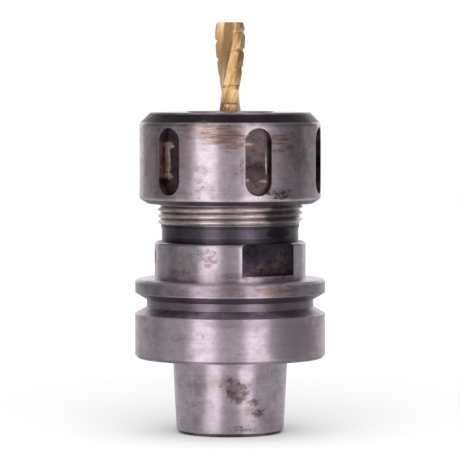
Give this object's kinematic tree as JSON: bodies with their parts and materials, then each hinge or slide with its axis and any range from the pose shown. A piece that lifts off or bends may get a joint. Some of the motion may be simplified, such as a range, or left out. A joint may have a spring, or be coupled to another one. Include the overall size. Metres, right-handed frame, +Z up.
{
  "type": "collet chuck",
  "caption": "Collet chuck with a short hollow taper shank, grooved flange, spanner flats, threaded nose, bearing clamping nut and a slotted collet that holds a spiral router bit.",
  "frame": {"origin": "centre of the shank's end face, which is the lowest face", "axes": "+Z up the spindle axis from the shank to the cutting tip; -Y towards the camera of the picture"},
  "size_m": [0.063, 0.063, 0.1358],
  "materials": {
    "ground_steel": "ground steel, worn and a little stained",
    "nut_steel": "turned steel with rust specks and a dark chamfer",
    "ring_steel": "hardened ground steel",
    "collet_steel": "hardened spring steel, darkened",
    "plug_steel": "blackened grub screw",
    "gold_coating": "gold hard coating on ground carbide"
  },
  "bodies": {
    "holder": {"holder_body": "ground_steel"},
    "collet_pack": {"cone_ring": "ring_steel", "collet": "collet_steel", "router_bit": "gold_coating"},
    "nut": {"clamping_nut": "nut_steel", "ball_filler_plug": "plug_steel"}
  },
  "joints": [
    {"name": "collet_lift", "type": "slide", "parent": "holder", "child": "collet_pack", "axis": [0, 0, 1], "range_m": [0, 0.015]},
    {"name": "nut_turn", "type": "hinge", "parent": "collet_pack", "child": "nut", "pos_m": [0, 0, 0.0911], "axis": [0, 0, 1], "range_deg": [0, 2700]}
  ],
  "couplings": [
    {"joint": "collet_lift", "follows": "nut_turn", "m_per_rad": 0.00031831}
  ]
}
